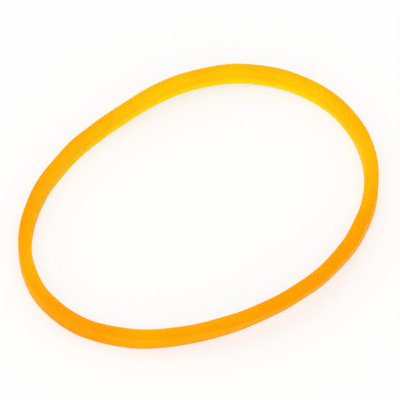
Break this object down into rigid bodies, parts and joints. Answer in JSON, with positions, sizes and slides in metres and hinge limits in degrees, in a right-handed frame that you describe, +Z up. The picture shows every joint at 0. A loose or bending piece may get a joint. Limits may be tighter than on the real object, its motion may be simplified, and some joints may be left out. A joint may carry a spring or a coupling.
{
  "type": "rubber band",
  "caption": "Small loose loop of soft orange rubber with a near-square section, for holding things together.",
  "frame": {"origin": "middle of the loop's outline, at the height of the surface that it rests on", "axes": "+Z up, out of the loop's plane; +X to the right and +Y away as the band lies in the picture"},
  "size_m": [0.0342, 0.0352, 0.0024],
  "materials": {
    "orange_rubber": "matte, slightly translucent, cut faces finely ribbed"
  },
  "bodies": {
    "root": {"rubber_band": "orange_rubber"}
  },
  "joints": []
}
